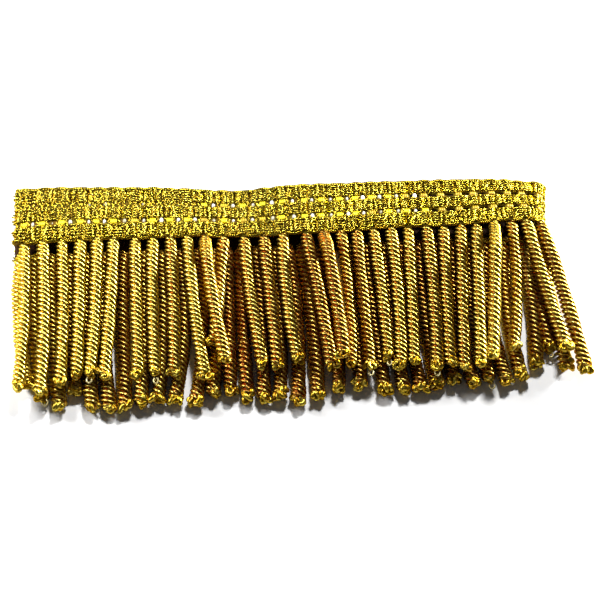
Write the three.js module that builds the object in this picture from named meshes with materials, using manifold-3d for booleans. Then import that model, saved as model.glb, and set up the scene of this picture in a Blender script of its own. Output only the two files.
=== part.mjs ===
// Bullion fringe trim: a woven metallic heading with a skirt of twisted strands.
// A cut length of it lies on a flat surface, folded once. The fold is at the right end (+X), both
// cut ends are at the left, and the strands point towards the viewer (-Y).
// Units are millimetres, +Z is up, and the origin is on the underside of the lower heading layer.

import * as THREE from 'three';
import { mergeVertices } from 'three/addons/utils/BufferGeometryUtils.js';
import Module from 'manifold-3d';

const wasm = await Module();
wasm.setup();

// Driving dimensions
const BAND_THICK = 1.4;
const BAND_WIDTH = 12.6;
const PIECE_GAP = 0.32;
const STRIP_WIDTH = 1.6;
const STRAND_WIDE = 2.2;
const STRAND_HIGH = 2.3;
const STRAND_STEPS = 9;

// The part rests on the heading's underside and on the tips of a few lower strands, counted from
// the left. The strip and the other lower strands lie this much higher, so that it stands firm.
const CLEARANCE = 0.05;
const RESTING_STRANDS = [0, 10, 21, 29];

// The upper strands lie this far over the lower ones, and sink at most this far below their roots.
const LAYER_GAP = 0.35;
const SINK = 1.6;

// The share of a lifted strand's length over which it rises and from which it drops at its tip,
// and how much of the lift it loses there.
const RISE_END = 0.28;
const DROP_START = 0.88;
const DROP = 0.12;

// The lower heading layer lies flat. Its root edge, where the strands leave it, is a straight line.
const LOWER_RUN = { startX: -56.8, endX: 46.2, startY: -4.4, endY: -3.7 };

// The upper heading layer, one row for each place where its edges change course. The root edge
// faces the viewer and the top edge lies away from them.
const UPPER_COLUMNS = ['x', 'rootY', 'rootZ', 'topY', 'topZ'];
const UPPER_ROWS = [
  [46.2, -1.4, 6.1, 9.4, 2.9],
  [41.0, -1.5, 6.0, 10.1, 2.9],
  [31.0, -1.8, 5.4, 10.4, 2.9],
  [18.0, -1.6, 4.8, 10.3, 3.0],
  [8.5, -2.1, 4.8, 10.0, 3.4],
  [-1.5, -2.1, 4.4, 9.8, 3.6],
  [-5.5, -2.1, 4.1, 9.5, 3.4],
  [-10.5, -2.0, 3.8, 9.2, 3.0],
  [-15.0, -1.9, 3.8, 9.3, 3.0],
  [-21.5, -1.6, 3.8, 9.9, 3.1],
  [-29.5, -1.7, 3.8, 10.3, 3.5],
  [-39.5, -1.7, 3.8, 10.3, 4.0],
  [-48.5, -1.9, 3.8, 10.4, 4.4],
  [-56.6, -2.6, 3.8, 9.9, 4.9],
];

// How far the fold's top edge reaches past the end of the straight runs, and how its round turn
// and the upper run are divided.
const TURN_TOP_SHIFT = 2.9;
const TURN_STEPS = 10;
const UPPER_STEPS = 44;

// The strands of the upper layer. bowX is where the strand is half way, and lift is how far it is
// raised over a neighbour that it crosses.
const UPPER_STRAND_COLUMNS = ['rootX', 'bowX', 'tipX', 'tipY', 'lift'];
const UPPER_STRANDS = [
  [-54.7, -54.1, -54.7, -34.4, 0],
  [-51.1, -50.2, -50.5, -35.8, 0],
  [-47.2, -46.5, -46.7, -33.8, 0],
  [-43.5, -43.4, -43.5, -32.2, 0],
  [-40.2, -40.2, -41.0, -32.2, 0],
  [-36.9, -37.3, -38.3, -32.8, 0],
  [-32.6, -32.2, -31.7, -32.6, 0],
  [-29.0, -29.0, -28.4, -32.7, 0],
  [-25.6, -24.9, -24.8, -32.8, 0],
  [-22.2, -20.9, -18.9, -33.5, 0],
  [-18.7, -17.3, -14.8, -31.4, 2.7],
  [-14.8, -15.9, -17.1, -26.3, 0],
  [-10.8, -9.7, -7.7, -31.3, 0],
  [-6.9, -5.8, -4.9, -31.8, 0],
  [-3.0, -2.6, -0.9, -30.8, 0],
  [1.4, 3.8, 5.5, -32.1, 0],
  [4.9, 6.7, 7.9, -31.1, 2.8],
  [8.5, 9.4, 9.5, -31.8, 0],
  [11.7, 12.3, 12.9, -32.4, 0],
  [15.0, 16.0, 16.6, -30.4, 0],
  [18.5, 19.2, 18.9, -32.2, 0],
  [22.0, 21.9, 21.4, -31.8, 0],
  [25.7, 26.2, 25.8, -32.9, 0],
  [29.1, 28.7, 28.4, -32.5, 0],
  [32.6, 31.8, 31.0, -33.5, 0],
  [35.7, 35.0, 34.3, -32.1, 0],
  [39.3, 38.0, 36.4, -32.1, 2.8],
  [42.6, 42.5, 40.8, -29.4, 0],
  [45.4, 47.9, 51.0, -29.4, 0],
];

// The two strands that leave the round of the fold. angle counts from the lower run to the upper.
const TURN_STRAND_COLUMNS = ['angle', 'bowX', 'tipX', 'tipY', 'tipZ'];
const TURN_STRANDS = [
  [131, 51.6, 54.6, -33.4, 2.4],
  [57, 49.3, 51.2, -32.5, 1.2],
];

// The strands of the lower layer, which lie along the surface from root to tip.
const LOWER_STRAND_COLUMNS = ['rootX', 'bowX', 'tipX', 'tipY'];
const LOWER_STRANDS = [
  [-55.4, -55.3, -53.1, -32.8],
  [-52.6, -52.3, -50.0, -35.4],
  [-49.5, -48.7, -46.9, -37.7],
  [-45.7, -45.3, -43.9, -34.5],
  [-42.2, -42.1, -40.6, -38.4],
  [-38.8, -39.0, -37.2, -38.5],
  [-35.0, -35.0, -34.3, -38.2],
  [-31.0, -30.8, -31.4, -37.6],
  [-27.5, -27.1, -28.1, -36.7],
  [-24.0, -23.0, -24.9, -36.8],
  [-20.6, -19.2, -21.0, -37.9],
  [-17.1, -16.7, -17.6, -36.0],
  [-14.3, -14.2, -14.2, -35.6],
  [-11.5, -11.5, -10.8, -36.8],
  [-8.7, -7.8, -7.8, -37.2],
  [-5.0, -4.2, -4.7, -36.6],
  [-2.2, -0.9, -1.2, -38.1],
  [0.6, 2.1, 2.7, -36.9],
  [4.4, 6.3, 6.8, -35.5],
  [9.8, 10.5, 11.0, -35.2],
  [13.6, 14.3, 15.6, -36.5],
  [17.0, 17.8, 19.2, -36.2],
  [20.6, 20.8, 22.6, -36.3],
  [24.2, 24.3, 25.8, -35.5],
  [27.8, 27.7, 29.0, -34.5],
  [31.4, 30.6, 32.8, -35.3],
  [34.7, 33.7, 36.0, -34.8],
  [38.2, 36.9, 39.2, -35.2],
  [41.7, 40.6, 42.1, -34.0],
  [44.8, 45.6, 45.2, -31.5],
];

const point = (x, y, z) => new THREE.Vector3(x, y, z);
const lerp = THREE.MathUtils.lerp;
const smoothstep = THREE.MathUtils.smoothstep;

// Turns rows of numbers into objects with the column names as keys.
function named(columns, rows) {
  return rows.map((row) => Object.fromEntries(columns.map((name, i) => [name, row[i]])));
}

// A box whose points are moved by place(x, y, z), each of the three from -0.5 to 0.5.
function bentBox(stepsX, stepsY, stepsZ, place) {
  const box = new THREE.BoxGeometry(1, 1, 1, stepsX, stepsY, stepsZ);
  const positions = box.getAttribute('position');
  for (let i = 0; i < positions.count; i += 1) {
    const moved = place(positions.getX(i), positions.getY(i), positions.getZ(i));
    positions.setXYZ(i, moved.x, moved.y, moved.z);
  }
  box.deleteAttribute('normal');
  box.deleteAttribute('uv');
  return mergeVertices(box, 1e-5);
}

// The heading's course

const lowerZ = BAND_THICK / 2;
const lowerSlope = (LOWER_RUN.endY - LOWER_RUN.startY) / (LOWER_RUN.endX - LOWER_RUN.startX);
const lowerTilt = Math.atan(lowerSlope);

function lowerRootY(x) {
  return LOWER_RUN.startY + (x - LOWER_RUN.startX) * lowerSlope;
}

function lowerStation(x) {
  const root = point(x, lowerRootY(x), lowerZ);
  const across = point(-Math.sin(lowerTilt), Math.cos(lowerTilt), 0);
  return { root, top: root.clone().addScaledVector(across, BAND_WIDTH) };
}

const upperRows = named(UPPER_COLUMNS, UPPER_ROWS);
const upperRoot = new THREE.CatmullRomCurve3(upperRows.map((r) => point(r.x, r.rootY, r.rootZ)));
const upperTop = new THREE.CatmullRomCurve3(upperRows.map((r) => point(r.x, r.topY, r.topZ)));

// Both edges share the rows, so the same share of the way gives points that face each other.
function upperStation(share) {
  return { root: upperRoot.getPoint(share), top: upperTop.getPoint(share) };
}

const lowerEnd = lowerStation(LOWER_RUN.endX);
const upperStart = upperStation(0);

// An edge of the fold: half a circle in height, which drifts from the lower run to the upper.
function turnEdge(from, to, shift, degrees) {
  const share = degrees / 180;
  const angle = THREE.MathUtils.degToRad(degrees - 90);
  const radius = (to.z - from.z) / 2;
  const x = lerp(from.x, to.x, share) + shift * Math.sin(share * Math.PI) + radius * Math.cos(angle);
  return point(x, lerp(from.y, to.y, smoothstep(share, 0, 1)), from.z + radius * (1 + Math.sin(angle)));
}

function turnStation(degrees) {
  return {
    root: turnEdge(lowerEnd.root, upperStart.root, 0, degrees),
    top: turnEdge(lowerEnd.top, upperStart.top, TURN_TOP_SHIFT, degrees),
  };
}

// The lower run is straight, so it needs no station between its start and the turn's first.
const stations = [lowerStation(LOWER_RUN.startX)];
for (let i = 0; i < TURN_STEPS; i += 1) {
  stations.push(turnStation((180 * i) / TURN_STEPS));
}
const firstUpper = stations.length;
for (let i = 0; i <= UPPER_STEPS; i += 1) {
  stations.push(upperStation(i / UPPER_STEPS));
}
const lastStation = stations.length - 1;

// The band's own directions at a station: along it, across it to the top edge, and through it.
function bandAxes(index) {
  const before = stations[Math.max(index - 1, 0)];
  const after = stations[Math.min(index + 1, lastStation)];
  const here = stations[index];
  const outward = here.root.clone().sub(here.top).normalize();
  const through = (edge) => {
    const along = after[edge].clone().sub(before[edge]);
    return along.cross(outward.clone().negate()).normalize();
  };
  return { outward, rootThrough: through('root'), topThrough: through('top') };
}

// The heading: one band along all the stations

function makeHeading() {
  return bentBox(lastStation, 2, 1, (x, y, z) => {
    const index = Math.round((x + 0.5) * lastStation);
    const { root, top } = stations[index];
    const { rootThrough, topThrough } = bandAxes(index);
    const across = y + 0.5;
    const through = rootThrough.clone().lerp(topThrough, across).normalize();
    return root.clone().lerp(top, across).addScaledVector(through, z * BAND_THICK);
  });
}

// The backing strip: a narrow band beside the root edge, a little apart from the heading

const stripThick = BAND_THICK - 2 * CLEARANCE;

function makeStrip() {
  return bentBox(lastStation, 1, 1, (x, y, z) => {
    const index = Math.round((x + 0.5) * lastStation);
    const { outward, rootThrough } = bandAxes(index);
    const reach = PIECE_GAP + (0.5 - y) * STRIP_WIDTH;
    return stations[index].root
      .clone()
      .addScaledVector(outward, reach)
      .addScaledVector(rootThrough, z * stripThick);
  });
}

// The strands

const rootReach = PIECE_GAP + STRIP_WIDTH / 2;
const lowerStrandZ = CLEARANCE + STRAND_HIGH / 2;
const upperStrandZ = lowerStrandZ + STRAND_HIGH + LAYER_GAP;

// A strand is a four-sided bar along a smooth line. Its sides stay upright and its faces level.
function makeStrand(line) {
  return bentBox(1, STRAND_STEPS, 1, (x, y, z) => {
    const share = 0.5 - y;
    const along = line.getTangent(share).negate();
    const side = along.clone().cross(point(0, 0, 1)).normalize();
    const upward = side.clone().cross(along).normalize();
    return line
      .getPoint(share)
      .addScaledVector(side, x * STRAND_WIDE)
      .addScaledVector(upward, z * STRAND_HIGH);
  });
}

// A line from the root through the bow to the tip, with heightAt(share) giving its height.
function strandLine(root, strand, heightAt) {
  const points = [];
  for (let i = 0; i <= STRAND_STEPS; i += 1) {
    const share = i / STRAND_STEPS;
    const straight = lerp(root.x, strand.tipX, share);
    const bow = strand.bowX - (root.x + strand.tipX) / 2;
    const x = straight + bow * 4 * share * (1 - share);
    points.push(point(x, lerp(root.y, strand.tipY, share), heightAt(share)));
  }
  return new THREE.CatmullRomCurve3(points);
}

function lowerStrand(strand, index) {
  const root = point(strand.rootX, lowerRootY(strand.rootX) - rootReach, lowerStrandZ);
  const drop = RESTING_STRANDS.includes(index) ? CLEARANCE : 0;
  return makeStrand(strandLine(root, strand, (share) => lowerStrandZ - drop * share));
}

// The upper root edge at a given x, between the two stations around it.
function upperRootAt(x) {
  const next = stations.findIndex((station, i) => i > firstUpper && station.root.x <= x);
  const a = stations[next - 1];
  const b = stations[next];
  const share = (x - a.root.x) / (b.root.x - a.root.x);
  const outward = bandAxes(next).outward;
  return a.root.clone().lerp(b.root, share).addScaledVector(outward, rootReach);
}

// An upper strand settles from its root onto the lower layer. A lifted one stays up, then drops.
function upperStrand(strand) {
  const root = upperRootAt(strand.rootX);
  const settled = Math.max(upperStrandZ, root.z - SINK);
  const heightAt = (share) => {
    const raised = smoothstep(share, 0, RISE_END) * (1 - DROP * smoothstep(share, DROP_START, 1));
    return lerp(root.z, settled, smoothstep(share, 0, DROP_START)) + strand.lift * raised;
  };
  return makeStrand(strandLine(root, strand, heightAt));
}

function turnStrand(strand) {
  const { root, top } = turnStation(strand.angle);
  const outward = root.clone().sub(top).normalize();
  const start = root.clone().addScaledVector(outward, rootReach);
  const heightAt = (share) => lerp(start.z, strand.tipZ, share * share);
  return makeStrand(strandLine(start, strand, heightAt));
}

// Closed solids

function toSolid(geometry) {
  return new wasm.Manifold(
    new wasm.Mesh({
      numProp: 3,
      vertProperties: new Float32Array(geometry.getAttribute('position').array),
      triVerts: new Uint32Array(geometry.getIndex().array),
    }),
  );
}

function toGeometry(solid) {
  const mesh = solid.getMesh();
  const geometry = new THREE.BufferGeometry();
  geometry.setAttribute('position', new THREE.BufferAttribute(mesh.vertProperties, 3));
  geometry.setIndex(new THREE.BufferAttribute(mesh.triVerts, 1));
  return geometry;
}

// The strands stand apart from each other. Only their roots are fused, into the strip.
function makeFringe() {
  const strands = [
    ...named(LOWER_STRAND_COLUMNS, LOWER_STRANDS).map(lowerStrand),
    ...named(TURN_STRAND_COLUMNS, TURN_STRANDS).map(turnStrand),
    ...named(UPPER_STRAND_COLUMNS, UPPER_STRANDS).map(upperStrand),
  ];
  const fused = strands.reduce((solid, strand) => solid.add(toSolid(strand)), toSolid(makeStrip()));
  return toGeometry(fused);
}

// The trim

function addPiece(group, name, geometry, colour, roughness, metalness) {
  const material = new THREE.MeshStandardMaterial({ color: colour, roughness, metalness });
  const piece = new THREE.Mesh(geometry, material);
  piece.name = name;
  group.add(piece);
}

const trim = new THREE.Group();
addPiece(trim, 'heading', makeHeading(), '#b5942f', 0.42, 0.8);
addPiece(trim, 'fringe', makeFringe(), '#a8801f', 0.35, 0.85);

export default trim;
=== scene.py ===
# Bullion fringe trim: a woven heading of metallic gold gimp with a skirt of twisted strands.
# A cut length of it lies on a pale surface, folded once, so that two layers lie one over the other.
# Sizes are in millimetres until a mesh is made. +X runs along the heading, +Z is up.
import math

import bpy
import numpy as np
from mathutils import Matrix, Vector


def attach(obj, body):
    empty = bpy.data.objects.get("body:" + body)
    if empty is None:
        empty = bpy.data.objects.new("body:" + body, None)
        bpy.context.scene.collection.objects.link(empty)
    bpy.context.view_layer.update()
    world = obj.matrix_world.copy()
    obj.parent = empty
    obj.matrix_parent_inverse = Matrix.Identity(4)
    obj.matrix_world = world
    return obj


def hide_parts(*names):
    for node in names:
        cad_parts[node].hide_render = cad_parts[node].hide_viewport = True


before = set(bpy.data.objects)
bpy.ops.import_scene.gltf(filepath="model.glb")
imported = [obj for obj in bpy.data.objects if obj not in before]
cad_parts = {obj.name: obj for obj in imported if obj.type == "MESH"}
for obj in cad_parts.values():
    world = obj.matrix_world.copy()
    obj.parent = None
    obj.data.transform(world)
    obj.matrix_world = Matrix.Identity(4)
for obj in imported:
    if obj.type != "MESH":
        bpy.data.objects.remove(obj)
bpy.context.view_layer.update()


# The bullion strands
# Each strand is a length of gold gimp yarn, twisted hard, doubled back on itself and let go, so that
# it winds up into a four-ply rope. The ropes hang side by side from the lower edge of the heading.

MM = 0.001
BAND_WIDTH = 12.6
BAND_HALF = 0.7
LOWER_LINE = {"start": (-56.8, -4.4), "end": (46.2, -3.7)}

# The course of the upper layer's two edges: x, and y and z of the root edge and of the top edge.
UPPER_COURSE = [
    (46.2, -1.4, 6.1, 9.4, 2.9),
    (41.0, -1.5, 6.0, 10.1, 2.9),
    (31.0, -1.8, 5.4, 10.4, 2.9),
    (18.0, -1.6, 4.8, 10.3, 3.0),
    (8.5, -2.1, 4.8, 10.0, 3.4),
    (-1.5, -2.1, 4.4, 9.8, 3.6),
    (-5.5, -2.1, 4.1, 9.5, 3.4),
    (-10.5, -2.0, 3.8, 9.2, 3.0),
    (-15.0, -1.9, 3.8, 9.3, 3.0),
    (-21.5, -1.6, 3.8, 9.9, 3.1),
    (-29.5, -1.7, 3.8, 10.3, 3.5),
    (-39.5, -1.7, 3.8, 10.3, 4.0),
    (-48.5, -1.9, 3.8, 10.4, 4.4),
    (-56.6, -2.6, 3.8, 9.9, 4.9),
]
TURN_TOP_SHIFT = 2.9

# Upper strands: x at the root, half way and at the tip, y at the tip, and how far each is lifted.
UPPER_STRANDS = [
    (-54.7, -54.1, -54.7, -34.4, 0.0),
    (-51.1, -50.2, -50.5, -35.8, 0.0),
    (-47.2, -46.5, -46.7, -33.8, 0.0),
    (-43.5, -43.4, -43.5, -32.2, 0.0),
    (-40.2, -40.2, -41.0, -32.2, 0.0),
    (-36.9, -37.3, -38.3, -32.8, 0.0),
    (-32.6, -32.2, -31.7, -32.6, 0.0),
    (-29.0, -29.0, -28.4, -32.7, 0.0),
    (-25.6, -24.9, -24.8, -32.8, 0.0),
    (-22.2, -20.9, -18.9, -33.5, 0.0),
    (-18.7, -17.3, -14.8, -31.4, 2.7),
    (-14.8, -15.9, -17.1, -26.3, 0.0),
    (-10.8, -9.7, -7.7, -31.3, 0.0),
    (-6.9, -5.8, -4.9, -31.8, 0.0),
    (-3.0, -2.6, -0.9, -30.8, 0.0),
    (1.4, 3.8, 5.5, -32.1, 0.0),
    (4.9, 6.7, 7.9, -31.1, 2.8),
    (8.5, 9.4, 9.5, -31.8, 0.0),
    (11.7, 12.3, 12.9, -32.4, 0.0),
    (15.0, 16.0, 16.6, -30.4, 0.0),
    (18.5, 19.2, 18.9, -32.2, 0.0),
    (22.0, 21.9, 21.4, -31.8, 0.0),
    (25.7, 26.2, 25.8, -32.9, 0.0),
    (29.1, 28.7, 28.4, -32.5, 0.0),
    (32.6, 31.8, 31.0, -33.5, 0.0),
    (35.7, 35.0, 34.3, -32.1, 0.0),
    (39.3, 38.0, 36.4, -32.1, 2.8),
    (42.6, 42.5, 40.8, -29.4, 0.0),
    (45.4, 47.9, 51.0, -29.4, 0.0),
]

# Strands on the round of the fold: degrees from the lower layer, x half way and at the tip, and y
# and z at the tip.
TURN_STRANDS = [
    (57, 49.3, 51.2, -32.5, 1.25),
    (131, 51.6, 54.6, -33.4, 2.4),
]

# Lower strands: x at the root, half way and at the tip, and y at the tip. They lie on the surface.
LOWER_STRANDS = [
    (-55.4, -55.3, -53.1, -32.8),
    (-52.6, -52.3, -50.0, -35.4),
    (-49.5, -48.7, -46.9, -37.7),
    (-45.7, -45.3, -43.9, -34.5),
    (-42.2, -42.1, -40.6, -38.4),
    (-38.8, -39.0, -37.2, -38.5),
    (-35.0, -35.0, -34.3, -38.2),
    (-31.0, -30.8, -31.4, -37.6),
    (-27.5, -27.1, -28.1, -36.7),
    (-24.0, -23.0, -24.9, -36.8),
    (-20.6, -19.2, -21.0, -37.9),
    (-17.1, -16.7, -17.6, -36.0),
    (-14.3, -14.2, -14.2, -35.6),
    (-11.5, -11.5, -10.8, -36.8),
    (-8.7, -7.8, -7.8, -37.2),
    (-5.0, -4.2, -4.7, -36.6),
    (-2.2, -0.9, -1.2, -38.1),
    (0.6, 2.1, 2.7, -36.9),
    (4.4, 6.3, 6.8, -35.5),
    (9.8, 10.5, 11.0, -35.2),
    (13.6, 14.3, 15.6, -36.5),
    (17.0, 17.8, 19.2, -36.2),
    (20.6, 20.8, 22.6, -36.3),
    (24.2, 24.3, 25.8, -35.5),
    (27.8, 27.7, 29.0, -34.5),
    (31.4, 30.6, 32.8, -35.3),
    (34.7, 33.7, 36.0, -34.8),
    (38.2, 36.9, 39.2, -35.2),
    (41.7, 40.6, 42.1, -34.0),
    (44.8, 45.6, 45.2, -31.5),
]
# One more lower strand, which shows only at its foot, in the gap beside the fold.
TUCKED_STRAND = (45.9, 46.9, 48.2, -28.3)


def smooth(low, high, value):
    """0 up to low, 1 from high on, and an even S-curve in between."""
    share = np.clip((value - low) / (high - low), 0, 1)
    return share * share * (3 - 2 * share)


def unit(vectors):
    return vectors / np.linalg.norm(vectors, axis=-1, keepdims=True)


def distances(points):
    """How far along its line each point is."""
    steps = np.linalg.norm(np.diff(points, axis=-2), axis=-1)
    start = np.zeros((*steps.shape[:-1], 1))
    return np.concatenate([start, np.cumsum(steps, axis=-1)], axis=-1)


def points_at(wanted, known, points):
    """Points at wanted distances along a line whose points lie at known distances."""
    return np.stack([np.interp(wanted, known, points[:, k]) for k in range(3)], axis=-1)


def between_rows(rows, share):
    """Smooth values between the rows of a table, at shares of its length."""
    rows = np.asarray(rows, float)
    place = np.clip(share, 0, 1) * (len(rows) - 1)
    row = np.minimum(place.astype(int), len(rows) - 2)
    t = (place - row)[:, None]
    before, here, after, last = (rows[np.clip(row + k, 0, len(rows) - 1)] for k in (-1, 0, 1, 2))
    slope = after - before
    bend = 2 * before - 5 * here + 4 * after - last
    twist = 3 * here - before - 3 * after + last
    return here + 0.5 * (slope * t + bend * t**2 + twist * t**3)


def lower_edges(x):
    """Root and top edge points of the lower layer at each x."""
    (x0, y0), (x1, y1) = LOWER_LINE["start"], LOWER_LINE["end"]
    tilt = math.atan2(y1 - y0, x1 - x0)
    y = y0 + (x - x0) * (y1 - y0) / (x1 - x0)
    root = np.stack([x, y, np.full_like(x, BAND_HALF)], axis=1)
    return root, root + BAND_WIDTH * np.array([-math.sin(tilt), math.cos(tilt), 0])


def upper_edges(share):
    """Root and top edge points of the upper layer, at shares of its course from the fold."""
    x, root_y, root_z, top_y, top_z = between_rows(UPPER_COURSE, share).T
    return np.stack([x, root_y, root_z], axis=1), np.stack([x, top_y, top_z], axis=1)


def turn_edges(degrees):
    """Edge points on the round of the fold, which rises from the lower layer to the upper one."""
    lower = lower_edges(np.array([LOWER_LINE["end"][0]]))
    upper = upper_edges(np.zeros(1))
    share = degrees / 180
    angle = np.radians(degrees - 90)
    edges = []
    for start, end, shift in zip(lower, upper, (0, TURN_TOP_SHIFT)):
        (x0, y0, z0), (x1, y1, z1) = start[0], end[0]
        radius = (z1 - z0) / 2
        x = x0 + (x1 - x0) * share + shift * np.sin(share * math.pi) + radius * np.cos(angle)
        y = y0 + (y1 - y0) * smooth(0, 1, share)
        edges.append(np.stack([x, y, z0 + radius * (1 + np.sin(angle))], axis=1))
    return edges


# The whole course, from the lower cut end round the fold to the upper cut end, in even steps.
COURSE_STEP = 0.2
LOWER_POINTS = 400
TURN_POINTS = 60
UPPER_POINTS = 500
lower_x = np.linspace(LOWER_LINE["start"][0], LOWER_LINE["end"][0], LOWER_POINTS, endpoint=False)
stretches = [
    lower_edges(lower_x),
    turn_edges(np.linspace(0, 180, TURN_POINTS, endpoint=False)),
    upper_edges(np.linspace(0, 1, UPPER_POINTS)),
]
course_root, course_top = (np.concatenate([part[k] for part in stretches]) for k in (0, 1))
walked = distances((course_root + course_top) / 2)
TRIM_LENGTH = float(walked[-1])
lower_end_at = float(walked[LOWER_POINTS])
upper_start_at = float(walked[LOWER_POINTS + TURN_POINTS])
course_at = np.linspace(0, TRIM_LENGTH, int(TRIM_LENGTH / COURSE_STEP))
course_root, course_top = (points_at(course_at, walked, edge) for edge in (course_root, course_top))
across = course_top - course_root
face_root, face_top = (
    unit(np.cross(across, np.gradient(edge, axis=0))) for edge in (course_root, course_top)
)


def on_course(values, along):
    return points_at(along, course_at, values)


def face_of(along, up_band):
    """The way that the trim's right side faces, at places on the band."""
    share = np.clip(up_band / BAND_WIDTH, 0, 1)[..., None]
    return unit(on_course(face_root, along) * (1 - share) + on_course(face_top, along) * share)


def on_band(along, up_band, off=0.0):
    """Points of the band: along its length, up from the root edge, and off its middle plane."""
    along, up_band, off = np.broadcast_arrays(along, up_band, off)
    share = (up_band / BAND_WIDTH)[..., None]
    flat = on_course(course_root, along) * (1 - share) + on_course(course_top, along) * share
    return flat + face_of(along, up_band) * off[..., None]


LINE_POINTS = 60
STEP_LENGTH = 0.24


def strand_line(root, bow_x, tip, height_at):
    """The middle line of a strand, in even steps from its root to its tip."""
    share = np.linspace(0, 1, LINE_POINTS)
    bow = bow_x - (root[0] + tip[0]) / 2
    x = root[0] + (tip[0] - root[0]) * share + bow * 4 * share * (1 - share)
    y = root[1] + (tip[1] - root[1]) * share
    line = np.stack([x, y, height_at(share)], axis=1)
    known = distances(line)
    even = np.linspace(0, known[-1], int(known[-1] / STEP_LENGTH) + 1)
    return points_at(even, known, line)


# A strand starts inside the band, dropped a little where it rests on the table or on the strands
# below, and has come to its height at a share of its length.
ROOT_INSIDE = 0.9
ROOT_DROP = 0.8
ROOT_SHARE = 0.16
LYING_HEIGHT = 1.42
LYING_SHARE = 0.08
RESTING_HEIGHT = 4.0
MOST_SINK = 1.6
SINK_SHARE = 0.88
LIFT_SHARE = 0.28
TIP_DROOP = 0.12

strand_lines = {"lower": [], "turn": [], "upper": []}
strand_places = []

on_lower = course_at < lower_end_at
for root_x, bow_x, tip_x, tip_y in [*LOWER_STRANDS, TUCKED_STRAND]:
    place = float(np.interp(root_x, course_root[on_lower, 0], course_at[on_lower]))
    strand_places.append(place)
    line = strand_line(
        on_band(place, ROOT_INSIDE),
        bow_x,
        (tip_x, tip_y),
        lambda share: BAND_HALF + (LYING_HEIGHT - BAND_HALF) * smooth(0, LYING_SHARE, share),
    )
    strand_lines["lower"].append(line)
# The heading's slots and bars are spaced by the other strands, without the tucked one.
strand_places.pop()

on_turn = (course_at > lower_end_at - 1) & (course_at < upper_start_at + 1)
for degrees, bow_x, tip_x, tip_y, tip_z in TURN_STRANDS:
    edge = turn_edges(np.array([degrees]))[0][0]
    nearest = np.linalg.norm(course_root[on_turn] - edge, axis=1).argmin()
    place = float(course_at[on_turn][nearest])
    strand_places.append(place)
    root = on_band(place, ROOT_INSIDE)
    line = strand_line(
        root,
        bow_x,
        (tip_x, tip_y),
        lambda share: root[2]
        + (tip_z - root[2]) * share**2
        - ROOT_DROP * (1 - smooth(0, ROOT_SHARE, share)),
    )
    strand_lines["turn"].append(line)

on_upper = course_at > upper_start_at
for root_x, bow_x, tip_x, tip_y, lift in UPPER_STRANDS:
    place = float(np.interp(-root_x, -course_root[on_upper, 0], course_at[on_upper]))
    strand_places.append(place)
    root = on_band(place, ROOT_INSIDE)
    settled = max(RESTING_HEIGHT, root[2] - MOST_SINK)
    line = strand_line(
        root,
        bow_x,
        (tip_x, tip_y),
        lambda share: root[2]
        - ROOT_DROP * (1 - smooth(0, ROOT_SHARE, share))
        + (settled - root[2]) * smooth(0, SINK_SHARE, share)
        + lift * smooth(0, LIFT_SHARE, share) * (1 - TIP_DROOP * smooth(SINK_SHARE, 1, share)),
    )
    strand_lines["upper"].append(line)

strand_places = np.sort(np.array(strand_places))

UP = np.array([0.0, 0.0, 1.0])
LOWEST = 0.02


def axes_of(line, up):
    """Along, sideways and upward directions at each point of a line."""
    ahead = unit(np.gradient(line, axis=-2))
    side = unit(np.cross(ahead, up))
    return ahead, side, np.cross(side, ahead)


def make_piece(name, points, faces, marks, material):
    """A smooth mesh object from points in millimetres, with a number at each point for each mark.

    Yarn that would reach below the surface that the trim lies on is pressed flat on it."""
    points[:, 2] = np.maximum(points[:, 2], LOWEST)
    mesh = bpy.data.meshes.new(name)
    mesh.from_pydata((points * MM).tolist(), [], faces)
    mesh.polygons.foreach_set("use_smooth", np.ones(len(mesh.polygons), bool))
    for mark_name, values in marks.items():
        attribute = mesh.attributes.new(mark_name, "FLOAT", "POINT")
        attribute.data.foreach_set("value", np.asarray(values, np.float32).ravel())
    mesh.validate()
    mesh.materials.append(material)
    piece = bpy.data.objects.new(name, mesh)
    bpy.context.scene.collection.objects.link(piece)
    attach(piece, "root")
    return piece


def tube_faces(rings, sides, first):
    """The faces of one closed tube: quads between neighbouring rings, and a face at each end."""
    ring, side = np.meshgrid(np.arange(rings - 1), np.arange(sides), indexing="ij")
    a = first + ring * sides + side
    b = first + ring * sides + (side + 1) % sides
    last = first + (rings - 1) * sides
    return [
        *np.stack([a, b, b + sides, a + sides], axis=-1).reshape(-1, 4).tolist(),
        list(range(first + sides - 1, first - 1, -1)),
        list(range(last, last + sides)),
    ]


# One turn of a rope takes TURN_LENGTH, and its grooves go in by a share of its radius. Along its
# length it swells, ripples and drifts a little. It is narrow at its root and round at its tip.
STRAND_RADIUS = 1.3
PLIES = 4
COLUMNS_A_PLY = 7
ROPE_COLUMNS = PLIES * COLUMNS_A_PLY
TURN_LENGTH = 4.2
GROOVE = 0.38
SWELL, SWELL_RATE = 0.05, 0.55
RIPPLE, RIPPLE_RATE = 0.03, 1.7
DRIFT, DRIFT_RATE = 0.25, 0.32
NARROWED = 0.15
NARROW_FROM, NARROW_TO = 0.2, 2.0
TIP_LENGTH = 0.9
TIP_BLUNTNESS = 0.97
PLY_MIDDLE = 0.7
WRAP_SLANT = 0.35
SHADE_SPREAD = 0.5
SHADE_WAVE, SHADE_RATE = 0.12, 0.8


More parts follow.
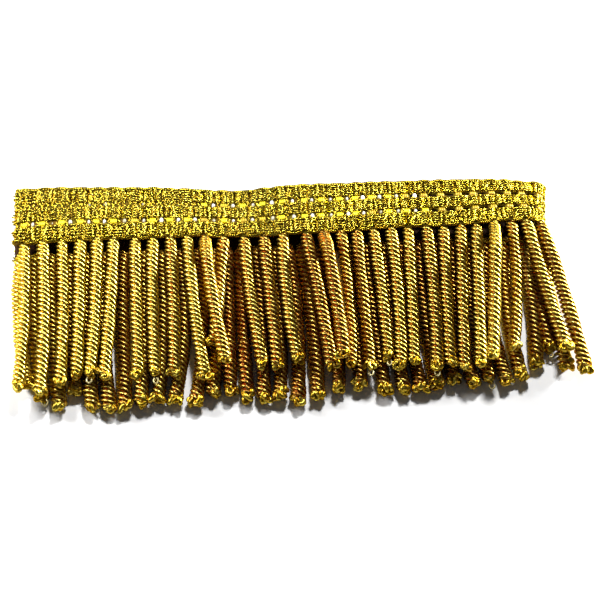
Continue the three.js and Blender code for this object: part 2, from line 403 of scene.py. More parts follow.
def rope(line, radius, phase, painted_shade, random):
    """The points of one twisted rope, ring by ring, and the marks that its material reads.

    The marks are the length along the yarn, a tint that carries painted shade and an uneven tone,
    and how near its groove a point is."""
    _, side, upward = axes_of(line, UP)
    length = np.linalg.norm(line[1] - line[0]) * np.arange(len(line))
    column = np.arange(ROPE_COLUMNS)
    over = (column % COLUMNS_A_PLY) / COLUMNS_A_PLY * 2 - 1
    hump = 1 - GROOVE * (1 - np.sqrt(1 - over**2))
    swell = 1 + SWELL * np.sin(length * SWELL_RATE + phase)
    swell += RIPPLE * np.sin(length * RIPPLE_RATE + 2 * phase)
    root_taper = (1 - NARROWED) + NARROWED * smooth(NARROW_FROM, NARROW_TO, length)
    into_tip = np.clip(length - (length[-1] - TIP_LENGTH), 0, TIP_BLUNTNESS)
    wide = radius * swell * root_taper * np.sqrt(1 - into_tip**2)
    drift = DRIFT * np.sin(length * DRIFT_RATE + 3 * phase)
    turn = phase + (2 * math.pi * length / TURN_LENGTH) + drift
    angle = turn[:, None] + 2 * math.pi * column[None, :] / ROPE_COLUMNS
    reach = wide[:, None] * hump[None, :]
    points = (
        line[:, None]
        + (reach * np.cos(angle))[..., None] * side[:, None]
        + (reach * np.sin(angle))[..., None] * upward[:, None]
    )
    ply_length = length * math.hypot(1, 2 * math.pi * PLY_MIDDLE * radius / TURN_LENGTH)
    wrap = ply_length[:, None] + WRAP_SLANT * over[None, :] + random.uniform(0, 5)
    # The tint: painted shade for the strand's place and layer, and an uneven tone of its own.
    shade = painted_shade + random.uniform(-SHADE_SPREAD, SHADE_SPREAD)
    shade = shade + SHADE_WAVE * np.sin(length * SHADE_RATE + 5 * phase)
    tint = np.repeat(shade[:, None], ROPE_COLUMNS, axis=1)
    marks = {"wrap": wrap.ravel(), "tint": tint.ravel(), "over": np.tile(np.abs(over), len(line))}
    return points.reshape(-1, 3), marks


class Wire:
    """A socket of a material's nodes that takes Python's sums."""

    # The places of a Mix node's colour sockets: its factor, its two colours and its result.
    FACTOR = 0
    FIRST_COLOUR = 6
    SECOND_COLOUR = 7
    MIXED_COLOUR = 2

    def __init__(self, tree, socket=None):
        self.tree = tree
        self.socket = socket

    def part(self, kind, settings=(), inputs=(), output=0):
        """A node of any kind: its settings first, then its sockets' values or links."""
        node = self.tree.nodes.new(kind)
        for name, value in dict(settings).items():
            setattr(node, name, value)
        fill_sockets(node, dict(inputs))
        return Wire(self.tree, node.outputs[output])

    def maths(self, operation, first, second=0.0):
        return self.part("ShaderNodeMath", {"operation": operation}, {0: first, 1: second})

    def __add__(self, other):
        return self.maths("ADD", self, other)

    def __radd__(self, other):
        return self.maths("ADD", other, self)

    def __sub__(self, other):
        return self.maths("SUBTRACT", self, other)

    def __rsub__(self, other):
        return self.maths("SUBTRACT", other, self)

    def __mul__(self, other):
        return self.maths("MULTIPLY", self, other)

    def __rmul__(self, other):
        return self.maths("MULTIPLY", other, self)

    def sine(self):
        return self.maths("SINE", self)

    def clipped(self, low, high):
        """0 below low, 1 above high, and even in between."""
        limits = {"Value": self, "From Min": low, "From Max": high}
        return self.part("ShaderNodeMapRange", {"clamp": True}, limits)

    def mixed(self, first, second):
        """The first colour where this is 0, and the second where it is 1."""
        colours = {self.FACTOR: self, self.FIRST_COLOUR: first, self.SECOND_COLOUR: second}
        return self.part("ShaderNodeMix", {"data_type": "RGBA"}, colours, self.MIXED_COLOUR)


def fill_sockets(node, values):
    """Links from wires, or plain values, into the sockets of a node."""
    for name, value in values.items():
        if isinstance(value, Wire):
            value.tree.links.new(value.socket, node.inputs[name])
        else:
            node.inputs[name].default_value = value


def new_finish(name):
    """An empty material, with its Principled shader and a wire to start its nodes from."""
    material = bpy.data.materials.new(name)
    material.use_nodes = True
    tree = material.node_tree
    return material, tree.nodes["Principled BSDF"], Wire(tree)


def mark(start, name):
    """The number that a mesh has at each point for one mark."""
    return start.part("ShaderNodeAttribute", {"attribute_name": name}, output="Fac")


def grain(start, scale, detail=2):
    """Uneven spots that stay in their place on the piece, about 1 / scale of a metre wide."""
    place = start.part("ShaderNodeTexCoord", output="Object")
    spots = {"Vector": place, "Scale": scale, "Detail": detail}
    return start.part("ShaderNodeTexNoise", inputs=spots)


def relief(height, strength, depth):
    """A bumpy surface, as deep as depth in metres."""
    bumps = {"Height": height, "Strength": strength, "Distance": depth}
    return height.part("ShaderNodeBump", inputs=bumps)


# Gold foil over a core: olive, and orange to brown in patches, with a painted highlight on its
# ridges and painted shade in its grooves.
WRAP_LENGTH = 0.42
GLANCING_FOIL = (1.0, 0.72, 0.25, 1)
FOIL_RELIEF_DEPTH = 0.00006
ROUGHNESS_SPREAD = 0.16


def foil_finish(name, deep, mid, pale, groove, strength, dullest, speckle):
    """Metallic gold gimp, whose foil is wound round the yarn in fine slanting turns."""
    material, shader, start = new_finish(name)
    wrap, tint, over = (mark(start, mark_name) for mark_name in ("wrap", "tint", "over"))
    patches = grain(start, 700)
    grains = grain(start, 2600)
    # Warmer in patches and on yarns of high tint, which on the strands carries painted shade. A
    # painted highlight, pale, on the ridges, and painted shade, red-brown, in the grooves.
    warm = (patches * 0.8 + tint * 0.6).clipped(0.4, 1.1)
    colour = warm.mixed(mid, deep)
    colour = ((1 - over).clipped(0.5, 1) * (0.95 - warm * 0.45)).mixed(colour, pale)
    colour = (over * over * (0.65 + warm * 0.3)).mixed(colour, groove)
    # Painted shade: the strands with the most painted shade in their tint go darker still.
    colour = (tint.clipped(1.0, 2.6) * 0.8).mixed(colour, groove)
    # Painted glints and specks of painted shade: a fine sparkle of bright and dark grains over all of
    # it.
    colour = (grains.clipped(0.5, 0.62) * speckle).mixed(colour, pale)
    colour = ((1 - grains).clipped(0.52, 0.66) * speckle).mixed(colour, groove)
    ribs = (wrap * (2 * math.pi / WRAP_LENGTH) + grains * 3).sine()
    surface = {
        "Base Color": colour,
        "Roughness": (dullest - ROUGHNESS_SPREAD) + grains * ROUGHNESS_SPREAD,
        "Normal": relief(ribs * 0.5 + grains * 0.9, strength, FOIL_RELIEF_DEPTH),
        "Metallic": 1.0,
        "Specular Tint": GLANCING_FOIL,
    }
    fill_sockets(shader, surface)
    return material


bullion_gold = foil_finish(
    "bullion_gold",
    deep=(0.27, 0.105, 0.002, 1),
    mid=(0.48, 0.33, 0.012, 1),
    pale=(0.94, 0.82, 0.18, 1),
    groove=(0.17, 0.011, 0.001, 1),
    strength=0.25,
    dullest=0.42,
    speckle=0.3,
)

# Painted light and shade on the strands at places along the trim, for how the lamps light them:
# painted bright at its left end, and painted darkest right of the middle.
PAINTED_SHADE_AT_X = ((-55, -28, -10, 20, 50), (-0.4, 0.2, 1.2, 1.1, 0.6))
RADIUS_SPREAD = 0.05
# Each layer is two pieces, split after this many strands.
SPLIT = 15
# Each group: how much painted shade its strands get, most on the lower layer, which lies in shade
# under the upper one, how stout, and the most end loops on one of them.
STRAND_GROUPS = [
    ("strands_lower_left", strand_lines["lower"][:SPLIT], 1.0, 1.14, 11),
    ("strands_lower_right", strand_lines["lower"][SPLIT:] + strand_lines["turn"], 0.8, 1.14, 11),
    ("strands_upper_left", strand_lines["upper"][:SPLIT], 0.0, 1.0, 7),
    ("strands_upper_right", strand_lines["upper"][SPLIT:], 0.0, 1.0, 7),
]
twist_random = np.random.default_rng(11)
strand_ends = []
for name, lines, layer_shade, stoutness, most_loops in STRAND_GROUPS:
    points, faces, marks, first = [], [], [], 0
    for line in lines:
        radius = STRAND_RADIUS * stoutness * twist_random.uniform(1 - RADIUS_SPREAD, 1 + RADIUS_SPREAD)
        phase = twist_random.uniform(0, 2 * math.pi)
        # Painted shade from the strand's place along the trim and from its layer.
        painted_shade = float(np.interp(line[0, 0], *PAINTED_SHADE_AT_X)) + layer_shade
        rope_points, rope_marks = rope(line, radius, phase, painted_shade, twist_random)
        points.append(rope_points)
        marks.append(rope_marks)
        faces += tube_faces(len(line), ROPE_COLUMNS, first)
        first += len(rope_points)
        strand_ends.append((line[-1], unit(line[-1] - line[-6]), most_loops))
    joined = {key: np.concatenate([each[key] for each in marks]) for key in marks[0]}
    piece = make_piece(name, np.concatenate(points), faces, joined, bullion_gold)
    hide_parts("fringe")


# The end loops
# Where the yarn turns back at the foot of a strand it bunches into a knot of small loops, and here
# and there a loop of fine pale thread stands out of it. The strands end in these knobbly tips.

LOOP_POINTS = 13
LOOP_SIDES = 6
LOOP_HALF_WIDTHS = (0.36, 0.68)
LOOP_LENGTHS = (0.8, 1.7)
LOOP_YARN_RADII = (0.34, 0.5)
LOOP_LOWEST = 0.36
THREAD_LOOP_SHARE = 0.14
THREAD_LOOP_LOWEST = 0.2
THREAD_RADIUS = 0.17
YARN_SLANT = 0.25
# Where the other yarns sit between the painted highlight of a ridge and the painted shade of a groove.
OFF_RIDGE = 0.3


def tubes(lines, radius, sides, up):
    """Round yarns along lines of equally many points: their points ring by ring, and faces."""
    lines = np.asarray(lines, float)
    _, side, upward = axes_of(lines, up)
    angle = 2 * math.pi * np.arange(sides) / sides
    radius = np.broadcast_to(radius, lines.shape[:2])[..., None, None]
    rings = lines[:, :, None] + radius * (
        np.cos(angle)[:, None] * side[:, :, None] + np.sin(angle)[:, None] * upward[:, :, None]
    )
    count, steps = lines.shape[:2]
    faces = []
    for k in range(count):
        faces += tube_faces(steps, sides, k * steps * sides)
    return rings.reshape(-1, 3), faces


def yarn_marks(lines, sides, random):
    """How far along its yarn each point is, a tint for each yarn, and an even place off its ridge."""
    slant = YARN_SLANT * np.sin(2 * math.pi * np.arange(sides) / sides)
    wrap = distances(np.asarray(lines, float))[..., None] + slant
    tint = np.broadcast_to(random.uniform(0, 1, len(lines))[:, None, None], wrap.shape)
    return {"wrap": wrap.ravel(), "tint": tint.ravel(), "over": np.full(wrap.size, OFF_RIDGE)}


loop_random = np.random.default_rng(23)
yarn_loops, yarn_radii, thread_lines = [], [], []
for tip, ahead, most_loops in strand_ends:
    side = unit(np.cross(ahead, UP))
    for k in range(loop_random.integers(most_loops - 2, most_loops + 1)):
        roll = loop_random.uniform(-1.6, 1.6)
        sway = loop_random.uniform(-0.9, 0.9)
        wide = unit(side * math.cos(roll) + UP * math.sin(roll))
        out = unit(ahead + side * sway + UP * loop_random.uniform(-0.15, 0.2))
        half = loop_random.uniform(*LOOP_HALF_WIDTHS)
        length = loop_random.uniform(*LOOP_LENGTHS)
        turn = np.linspace(-0.25 * math.pi, 1.25 * math.pi, LOOP_POINTS)
        line = (
            tip
            + np.outer(np.cos(turn) * half, wide)
            + np.outer(length * 0.45 + np.sin(turn) * length * 0.5, out)
            - ahead * loop_random.uniform(0.3, 0.9 + 0.08 * most_loops)
            + side * loop_random.uniform(-0.7, 0.7)
            + UP * loop_random.uniform(-0.3, 0.8)
        )
        line[:, 2] = np.maximum(line[:, 2], LOOP_LOWEST)
        yarn_loops.append(line)
        yarn_radii.append(loop_random.uniform(*LOOP_YARN_RADII))
    if loop_random.uniform() < THREAD_LOOP_SHARE:
        half = loop_random.uniform(0.35, 0.5)
        turn = np.linspace(-0.4 * math.pi, 1.4 * math.pi, LOOP_POINTS)
        line = tip + np.outer(np.cos(turn) * half, side)
        line = line + np.outer(1.2 + np.sin(turn) * half * 1.3, ahead)
        line[:, 2] = np.maximum(line[:, 2] + loop_random.uniform(-0.3, 0.3), THREAD_LOOP_LOWEST)
        thread_lines.append(line)

# A way that no loop's line runs in, so that each loop's cross-section keeps its turn.
LOOP_UP = np.array([0.31, 0.17, 0.94])
points, faces = tubes(yarn_loops, np.array(yarn_radii)[:, None], LOOP_SIDES, LOOP_UP)
marks = yarn_marks(yarn_loops, LOOP_SIDES, loop_random)
# How much painted highlight and painted groove shade the end loops get: at random, less highlight and
# more shade than the other yarns.
marks["over"] = 0.36 + 0.3 * marks["tint"]
marks["tint"] = 0.5 * marks["tint"]
end_loops = make_piece("end_loops", points, faces, marks, bullion_gold)

thread_finish, thread_shader, thread_start = new_finish("pale_thread")
thread_grain = grain(thread_start, 1800)
thread_surface = {
    "Base Color": thread_grain.clipped(0.35, 0.7).mixed((0.40, 0.32, 0.10, 1), (0.70, 0.62, 0.32, 1)),
    "Normal": relief(thread_grain, 0.4, 0.00003),
    "Roughness": 0.35,
    "Metallic": 0.35,
}
fill_sockets(thread_shader, thread_surface)
points, faces = tubes(thread_lines, THREAD_RADIUS, LOOP_SIDES, LOOP_UP)
marks = yarn_marks(thread_lines, LOOP_SIDES, loop_random)
thread_loops = make_piece("thread_loops", points, faces, marks, thread_finish)


# The heading's cloth
# The ground of the heading is woven close in three bands. Between the bands it is open: two rows of
# small slots, one in each gap between two strands, which stand open near the fold and are closed by
# the ground further on. The side that the fold hides is painted near black, as painted shade.

SLOT_ROWS = (4.2, 8.35)
SLOT_HEIGHT = 0.85
SLOT_SHARE = 0.55
CLOTH_HALF = 0.28
CELL_COLUMNS = 8
NARROW_CELL = 2
NARROW_CELL_COLUMNS = 3
BAND_ROWS = 5
END_SLOT = 0.8
OPEN_FROM_X = 21.0
GROUND_OLIVE = (0.16, 0.12, 0.004, 1)
GROUND_BROWN = (0.13, 0.07, 0.003, 1)
# Painted shade for the side of the cloth that the fold hides.
HIDDEN_SIDE_SHADE = (0.035, 0.014, 0.004, 1)

cell_edges = np.concatenate([[0.0], strand_places, [TRIM_LENGTH]])
cell_middle = (cell_edges[:-1] + cell_edges[1:]) / 2
slot_lies_open = on_course(course_root, cell_middle)[:, 0] > OPEN_FROM_X
grid_along = []
for left, right in zip(cell_edges[:-1], cell_edges[1:]):
    columns = CELL_COLUMNS if right - left > NARROW_CELL else NARROW_CELL_COLUMNS
    grid_along.append(np.linspace(left, right, columns, endpoint=False))
grid_along = np.concatenate([*grid_along, [TRIM_LENGTH]])
grid_up = [0.0]
for slot_row in SLOT_ROWS:
    low, high = slot_row - SLOT_HEIGHT / 2, slot_row + SLOT_HEIGHT / 2
    grid_up += [*np.linspace(grid_up[-1], low, BAND_ROWS)[1:], slot_row, high]
grid_up = np.array([*grid_up, *np.linspace(grid_up[-1], BAND_WIDTH, BAND_ROWS)[1:]])


def is_open(along, up_band):
    """Whether a place on the band lies in a slot."""
    if min(abs(up_band - slot_row) for slot_row in SLOT_ROWS) > SLOT_HEIGHT / 2:
        return False
    cell = min(int(np.searchsorted(cell_edges, along)) - 1, len(cell_edges) - 2)
    left, right = cell_edges[cell], cell_edges[cell + 1]
    if right - left < NARROW_CELL:
        return min(along, TRIM_LENGTH - along) < END_SLOT
    return slot_lies_open[cell] and abs((along - left) / (right - left) - 0.5) < SLOT_SHARE / 2


def closed_sheet(outer, inner, quads):
    """Two layers of points and one layer's quads, made into a closed sheet with its edges."""
    count = len(outer)
    edges = {}
    for quad in quads:
        for start, end in zip(quad, [*quad[1:], quad[0]]):
            edges[(start, end)] = True
    rims = [(a, b) for a, b in edges if (b, a) not in edges]
    faces = [list(quad) for quad in quads]
    faces += [[corner + count for corner in reversed(quad)] for quad in quads]
    faces += [[b, a, a + count, b + count] for a, b in rims]
    return np.concatenate([outer, inner]), faces


up_grid, along_grid = np.meshgrid(grid_up, grid_along)
rows_up = len(grid_up)
cloth_quads = []
for column in range(len(grid_along) - 1):
    along = (grid_along[column] + grid_along[column + 1]) / 2
    for row in range(rows_up - 1):
        if not is_open(along, (grid_up[row] + grid_up[row + 1]) / 2):
            a = column * rows_up + row
            cloth_quads.append([a, a + rows_up, a + rows_up + 1, a + 1])
outer = on_band(along_grid, up_grid, CLOTH_HALF).reshape(-1, 3)
inner = on_band(along_grid, up_grid, -CLOTH_HALF).reshape(-1, 3)
points, faces = closed_sheet(outer, inner, cloth_quads)
# The points in the middle of a slot belong to no face, so they are left out.
used = np.zeros(len(points), bool)
used[np.unique(np.concatenate([np.array(face) for face in faces]))] = True
renumbered = np.cumsum(used) - 1
faces = [[int(renumbered[corner]) for corner in face] for face in faces]
hidden_side = np.repeat([0.0, 1.0], len(outer))[used]

ground_finish, ground_shader, ground_start = new_finish("ground_weave")
hidden = mark(ground_start, "hidden_side")
ground_patch = grain(ground_start, 300, detail=1)
ground_colour = ground_patch.clipped(0.4, 0.65).mixed(GROUND_OLIVE, GROUND_BROWN)
# The hidden side is painted near black, as painted shade where the fold keeps the light off it.
ground_surface = {
    "Base Color": hidden.mixed(ground_colour, HIDDEN_SIDE_SHADE),
    "Normal": relief(grain(ground_start, 1500, detail=3), 1.0, 0.0002),
    "Roughness": 0.7,
    "Metallic": 0.2,
    "Specular IOR Level": 0.15,
}
fill_sockets(ground_shader, ground_surface)

marks = {"hidden_side": hidden_side}
heading_cloth = make_piece("heading_cloth", points[used], faces, marks, ground_finish)
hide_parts("heading")


# The looped gimp of the bands
# Over the ground of each band fine gold gimp is thrown in upright columns of small curls, about four
# columns to a strand, which catch the light.

GIMP_RADIUS = 0.2
GIMP_SIDES = 5
COLUMN_PITCH = 0.86
CURL_RISE = 0.68
CURL_POINTS = 7
CURL_HALF_WIDTH = 0.34
CURL_HALF_HEIGHT = 0.3
CURL_LIFT = 0.42
CURL_SWING = 0.2
LEAST_LIFT, MOST_LIFT = 0.2, 0.68
END_CLEARANCE = 0.05
RAISED_LIFT = 0.6
SUNK_DEPTH = 0.4
BANDS = {
    "gimp_root_band": (0.05, 3.95),
    "gimp_middle_band": (4.5, 8.05),
    "gimp_top_band": (8.65, 12.25),
}
gimp_gold = foil_finish(
    "gimp_gold",
    deep=(0.26, 0.12, 0.002, 1),
    mid=(0.30, 0.22, 0.001, 1),
    pale=(0.57, 0.46, 0.055, 1),
    groove=(0.12, 0.075, 0.0, 1),
    strength=0.4,
    dullest=0.34,
    speckle=0.4,
)
gimp_random = np.random.default_rng(37)


def curls(low, high, random):
    """Columns of curls all along the band, from one height up the band to another."""
    columns = int(TRIM_LENGTH / COLUMN_PITCH)
    count = int((high - low) / CURL_RISE)
    step = np.arange(count * CURL_POINTS + 1)
    turn = 2 * math.pi * step / CURL_POINTS
    knots = np.arange(count + 2)

    def uneven(spread):
        values = random.normal(0, spread, (columns, count + 2))
        return np.stack([np.interp(step / CURL_POINTS, knots, row) for row in values])

    along = (np.arange(columns)[:, None] + 0.5) * TRIM_LENGTH / columns + uneven(0.08)
    way = np.where(random.uniform(0, 1, (columns, 1)) < 0.5, -1, 1)
    along = along + way * (CURL_HALF_WIDTH + uneven(0.08)) * np.cos(turn)
    along = np.clip(along, END_CLEARANCE, TRIM_LENGTH - END_CLEARANCE)
    climb = (high - low - 2 * CURL_HALF_HEIGHT) * step / step[-1]
    up = low + CURL_HALF_HEIGHT + climb
    up = up + (CURL_HALF_HEIGHT + uneven(0.07)) * np.sin(turn) + uneven(0.08)
    lift = CURL_LIFT + CURL_SWING * np.sin(turn + random.uniform(0, 6, (columns, 1))) + uneven(0.05)
    return along, up, np.clip(lift, LEAST_LIFT, MOST_LIFT)


for name, (low, high) in BANDS.items():
    along, up, lift = curls(low, high, gimp_random)
    lines = on_band(along, up, lift)
    points, faces = tubes(lines, GIMP_RADIUS, GIMP_SIDES, face_of(along, up))
    marks = yarn_marks(lines, GIMP_SIDES, gimp_random)
    # 0 for the yarn that stands up most from the ground, and 1 for the lowest, so that the raised yarn
    # gets the painted highlight and the sunk yarn the painted shade.
    marks["over"] = np.repeat(np.clip((RAISED_LIFT - lift.ravel()) / SUNK_DEPTH, 0, 1), GIMP_SIDES)
    make_piece(name, points, faces, marks, gimp_gold)


# The picks
# Between the columns of curls run straighter lengths of the same gimp, which show bright. Shorter
# ones cross the two rows of slots, and lie close side by side where the upper row is closed.

PICKS_A_STRAND = 2
PICK_POINTS = 9
PICK_RADIUS = 0.19
PICK_LIFT = 0.42
CROSSING_LIFT = 0.3
CROSSING_LENGTH = 1.7
CROSSINGS = (0.24, 0.76)
CLOSED_CROSSINGS = (0.06, 0.28, 0.5, 0.72, 0.94)
NO_BAR_BEFORE_X = -19.5

pick_random = np.random.default_rng(53)
share = np.linspace(0, 1, PICK_POINTS)


def arched(height):
    """Lift of a yarn that comes up out of the ground, lies over it and goes back in."""
    return 0.2 + height * np.sqrt(np.sin(math.pi * np.clip(share, 0.02, 0.98)))


lines, ups = [], []
for left, right in zip(cell_edges[:-1], cell_edges[1:]):
    picks = PICKS_A_STRAND if right - left > NARROW_CELL else 1
    for low, high in BANDS.values():
        for k in range(picks):
            along = left + (k + 0.5 + pick_random.uniform(-0.35, 0.35)) / picks * (right - left)
            swing = pick_random.uniform(0.12, 0.34) * np.sin(
                share * pick_random.uniform(6, 13) + pick_random.uniform(0, 6)
            )
            first, last = np.sort(pick_random.uniform(low, high, 2))
            up = first + (last - first) * share
            along = np.clip(along + swing, 0.1, TRIM_LENGTH - 0.1)
            lines.append(on_band(along, up, arched(PICK_LIFT)))
            ups.append(face_of(along, up))
    place_x = float(on_course(course_root, (left + right) / 2)[0])
    for slot_row in SLOT_ROWS:
        crossings = CROSSINGS
        if slot_row == SLOT_ROWS[1] and place_x < NO_BAR_BEFORE_X:
            crossings = CLOSED_CROSSINGS
        if place_x > OPEN_FROM_X:
            crossings = ()
        for part in crossings:
            along = left + (part + pick_random.uniform(-0.04, 0.04)) * (right - left)
            along = along + 0.24 * np.sin(share * 9 + pick_random.uniform(0, 6))
            up = slot_row + (share - 0.5) * CROSSING_LENGTH
            lines.append(on_band(along, up, arched(CROSSING_LIFT)))
            ups.append(face_of(along, up))
points, faces = tubes(lines, PICK_RADIUS, GIMP_SIDES, np.array(ups))
marks = yarn_marks(lines, GIMP_SIDES, pick_random)
gimp_picks = make_piece("gimp_picks", points, faces, marks, gimp_gold)


# The core threads
# A soft white thread runs behind each row of slots and shows as a small oval in the middle of each.

CORE_POINTS = 7
CORE_SIDES = 8
CORE_HALF_LENGTH = 0.69
CORE_RADIUS = 0.42
CORE_LIFT = 0.26
CORE_WHITE = (0.88, 0.88, 0.80, 1)
CORE_SHADED = (0.40, 0.36, 0.20, 1)
BARE_FROM_X = 24.0
# Left of these places most of the ovals in the lower and in the upper row are covered.
COVERED_BEFORE_X = (-46.5, -17.5)

core_finish, core_shader, core_start = new_finish("white_core")
core_surface = {
    "Base Color": mark(core_start, "tint").mixed(CORE_WHITE, CORE_SHADED),
    "Roughness": 0.4,
}
fill_sockets(core_shader, core_surface)

core_random = np.random.default_rng(59)
lines, radii, ups = [], [], []
share = np.linspace(-0.97, 0.97, CORE_POINTS)
for left, right in zip(cell_edges[1:-2], cell_edges[2:-1]):
    place_x = float(on_course(course_root, (left + right) / 2)[0])
    for slot_row, covered_before_x in zip(SLOT_ROWS, COVERED_BEFORE_X):
        full = core_random.uniform(0.7, 1.05)
        if place_x < covered_before_x:
            full *= core_random.choice([0.25, 0.4, 0.95])
        if place_x > BARE_FROM_X:
            continue
        along = (left + right) / 2 + core_random.uniform(-0.15, 0.15) + 0 * share
        up = slot_row + CORE_HALF_LENGTH * full * share
        lines.append(on_band(along, up, CORE_LIFT))
        radii.append(CORE_RADIUS * full * np.sqrt(1 - share**2))
        ups.append(face_of(along, up))
points, faces = tubes(lines, np.array(radii), CORE_SIDES, np.array(ups))
marks = yarn_marks(lines, CORE_SIDES, core_random)
core_threads = make_piece("core_threads", points, faces, marks, core_finish)


# The weft bars
# In the two open rows, above each strand, the weft shows as a short bar of smooth bright yellow
# floats, laid side by side. In the upper row they are missing towards the cut ends, and by the fold
# they are dull.

BAR_FLOATS = 3
FLOAT_SPACING = 0.4
FLOAT_RADIUS = 0.25
FLOAT_HALF_LENGTH = 0.46
FLOAT_POINTS = 7
FLOAT_SIDES = 6
BAR_YELLOW = (0.95, 0.83, 0.015, 1)
BAR_DULL = (0.50, 0.33, 0.015, 1)
DULL_BARS_FROM_X = 27.0

bar_finish, bar_shader, bar_start = new_finish("satin_yellow")
bar_surface = {
    "Base Color": mark(bar_start, "tint").clipped(0.55, 0.9).mixed(BAR_YELLOW, BAR_DULL),
    "Normal": relief(grain(bar_start, 1900), 0.25, 0.00005),
    "Roughness": 0.4,
    "Metallic": 0.3,
}
fill_sockets(bar_shader, bar_surface)

bar_random = np.random.default_rng(61)
lines, ups, bar_tints = [], [], []
share = np.linspace(-1, 1, FLOAT_POINTS)
for place in strand_places:
    place_x = float(on_course(course_root, place)[0])
    for slot_row in SLOT_ROWS:
        tint = bar_random.uniform(0, 1)
        shift = bar_random.uniform(-0.12, 0.12)
        if slot_row == SLOT_ROWS[1] and place_x < NO_BAR_BEFORE_X:
            continue
        if place_x > DULL_BARS_FROM_X:
            tint = 1.0
        for k in range(BAR_FLOATS):
            along = place + shift + (k - (BAR_FLOATS - 1) / 2) * FLOAT_SPACING + 0 * share
            up = slot_row + share * FLOAT_HALF_LENGTH
            lines.append(on_band(along, up, 0.1 + 0.34 * np.sqrt(1 - 0.9 * share**2)))
            ups.append(face_of(along, up))
            bar_tints.append(tint)
points, faces = tubes(lines, FLOAT_RADIUS, FLOAT_SIDES, np.array(ups))
marks = yarn_marks(lines, FLOAT_SIDES, bar_random)
marks["tint"] = np.repeat(bar_tints, FLOAT_POINTS * FLOAT_SIDES)
weft_bars = make_piece("weft_bars", points, faces, marks, bar_finish)


# The edge yarns
# Two thicker gimps run side by side along the top edge in shallow scallops. Along the root edge, two
# finer ones hang in a loop from each strand's root to the next.

EDGE_RADIUS = 0.33
EDGE_SIDES = 6
EDGE_STEP = 0.22
SCALLOP = 0.22
# Each gimp of the top edge: how far it lies from the edge, and how high.
EDGE_GIMPS = ((-0.32, 0.22), (-0.75, 0.5))
SWAG_RADIUS = 0.22
SWAG_POINTS = 11
# Each loop of the root edge: how far it starts from the strands, how far it hangs, and how high.
SWAGS = ((0.5, 0.7, 0.36), (0.8, 0.5, 0.5))

edge_random = np.random.default_rng(71)
along = np.arange(0.1, TRIM_LENGTH - 0.1, EDGE_STEP)
cell = np.clip(np.searchsorted(cell_edges, along) - 1, 0, len(cell_edges) - 2)
within = (along - cell_edges[cell]) / (cell_edges[cell + 1] - cell_edges[cell])
rise = np.abs(np.sin(math.pi * (within + 0.5)))
wander = np.interp(along, np.linspace(0, TRIM_LENGTH, 120), edge_random.normal(0, 0.06, 120))
edge_lines, edge_ups = [], []
for low, lift in EDGE_GIMPS:
    up = BAND_WIDTH + low + SCALLOP * rise + wander
    edge_lines.append(on_band(along, up, lift + 0.06 * np.sin(along * 2.3)))
    edge_ups.append(face_of(along, up))
points, faces = tubes(edge_lines, EDGE_RADIUS, EDGE_SIDES, np.array(edge_ups))
marks = yarn_marks(edge_lines, EDGE_SIDES, edge_random)
tints = edge_random.uniform(0, 1, 400)
marks["tint"] = np.interp(marks["wrap"] * 0.6 % 399, np.arange(400), tints)
edge_cord = make_piece("edge_cord", points, faces, marks, gimp_gold)

swag_lines, swag_ups = [], []
turn = np.linspace(0, math.pi, SWAG_POINTS)
for left, right in zip(strand_places[:-1], strand_places[1:]):
    for inset, depth, lift in SWAGS:
        half = (right - left) / 2 - inset
        along = (left + right) / 2 - half * np.cos(turn) + edge_random.uniform(-0.1, 0.1)
        up = 0.55 + edge_random.uniform(-0.1, 0.1) - depth * np.sin(turn)
        swag_lines.append(on_band(along, up, lift - 0.12 * np.sin(turn)))
        swag_ups.append(face_of(along, up))
points, faces = tubes(swag_lines, SWAG_RADIUS, EDGE_SIDES, np.array(swag_ups))
marks = yarn_marks(swag_lines, EDGE_SIDES, edge_random)
root_loops = make_piece("root_edge_loops", points, faces, marks, gimp_gold)


# The cut ends
# At both ends the heading is simply cut, and short lengths of its yarns stand out of the edge.

FRAYS_AN_END = 26
FRAY_POINTS = 7
FRAY_RADIUS = 0.17
FRAY_INSIDE = 0.8
FRAY_LOWEST = 0.25

fray_random = np.random.default_rng(83)
share = np.linspace(0, 1, FRAY_POINTS)
lines = []
for end, inward in ((0.0, 1), (TRIM_LENGTH, -1)):
    outward = unit(on_band(end, BAND_WIDTH / 2) - on_band(end + inward, BAND_WIDTH / 2))
    for k in range(FRAYS_AN_END):
        up = fray_random.uniform(0.2, BAND_WIDTH - 0.3)
        start = on_band(end + inward * FRAY_INSIDE, up, fray_random.uniform(-0.15, 0.4))
        reach = FRAY_INSIDE + fray_random.uniform(-0.1, 0.7)
        bend = np.array([0, fray_random.normal(0, 0.35), fray_random.normal(0, 0.2)])
        line = start + np.outer(share * reach, outward) + np.outer(share**2, bend)
        line[:, 2] = np.maximum(line[:, 2], FRAY_LOWEST)
        lines.append(line)
points, faces = tubes(lines, FRAY_RADIUS, GIMP_SIDES, LOOP_UP)
marks = yarn_marks(lines, GIMP_SIDES, fray_random)
cut_yarns = make_piece("cut_yarns", points, faces, marks, gimp_gold)


# The table, the lights and the camera
# A plain white table. One lamp stands high behind the trim, a stronger one shines low across it from
# the right, and a weak one fills in from the left. The camera looks down on it from the front.

FLOOR_HALF = 1.5
WHITE = (1, 1, 1, 1)
TABLE_WHITE = (0.9, 0.9, 0.9, 1)
AMBIENT = 0.06
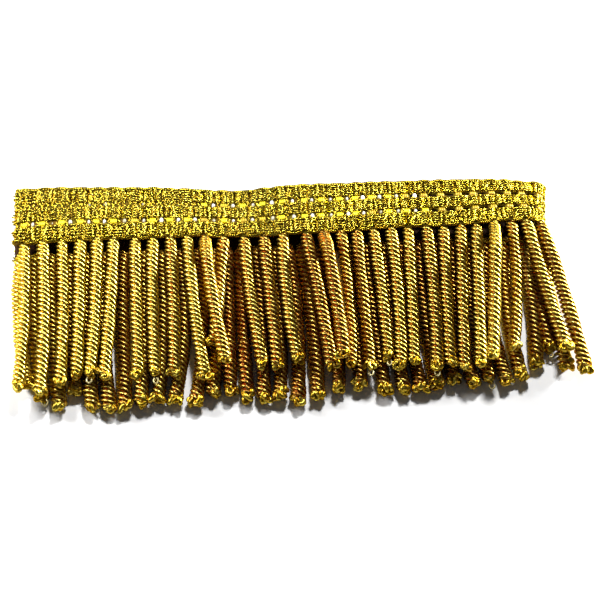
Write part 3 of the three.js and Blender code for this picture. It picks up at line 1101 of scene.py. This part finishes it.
# Each lamp: its place, its width and height, in metres, and its watts. All aim at the trim.
LAMPS = {
    "back_lamp": ((0.09, 0.32, 0.43), (0.09, 0.07), 3.5),
    "right_lamp": ((0.42, 0.20, 0.08), (0.06, 0.06), 10.5),
    "left_lamp": ((-0.13, 0.02, 0.07), (0.04, 0.04), 0.25),
}
CAMERA_PLACE = Vector((-7.0, -214.6, 349.4))
CAMERA_AIM = Vector((-0.1, -16.5, 3.0))
SENSOR = 36.0
FOCAL_PIXELS = 2030
PHOTO_PIXELS = 600
NEAREST_SEEN = 0.01

corners = [(x * FLOOR_HALF, y * FLOOR_HALF, 0) for x, y in ((-1, -1), (1, -1), (1, 1), (-1, 1))]
floor_mesh = bpy.data.meshes.new("floor")
floor_mesh.from_pydata(corners, [], [(0, 1, 2, 3)])
floor = bpy.data.objects.new("floor", floor_mesh)
bpy.context.scene.collection.objects.link(floor)
floor_finish, floor_shader, _ = new_finish("white_table")
fill_sockets(floor_shader, {"Base Color": TABLE_WHITE, "Roughness": 0.9})
floor_mesh.materials.append(floor_finish)


def aimed(name, data, place, way):
    """An object at a place, turned so that it looks along a way."""
    thing = bpy.data.objects.new(name, data)
    thing.location = place
    thing.rotation_mode = "QUATERNION"
    thing.rotation_quaternion = way.to_track_quat("-Z", "Y")
    bpy.context.scene.collection.objects.link(thing)
    return thing


for name, (place, size, watts) in LAMPS.items():
    lamp = bpy.data.lights.new(name, "AREA")
    lamp.shape = "RECTANGLE"
    lamp.size, lamp.size_y = size
    lamp.energy = watts
    aimed(name, lamp, place, -Vector(place))

world = bpy.data.worlds.new("studio")
world.use_nodes = True
fill_sockets(world.node_tree.nodes["Background"], {"Color": WHITE, "Strength": AMBIENT})
bpy.context.scene.world = world
bpy.context.scene.view_settings.view_transform = "Standard"

camera = bpy.data.cameras.new("camera")
camera.sensor_width = SENSOR
camera.lens = SENSOR * FOCAL_PIXELS / PHOTO_PIXELS
camera.clip_start = NEAREST_SEEN
eye = aimed("camera", camera, CAMERA_PLACE * MM, CAMERA_AIM - CAMERA_PLACE)
bpy.context.scene.camera = eye
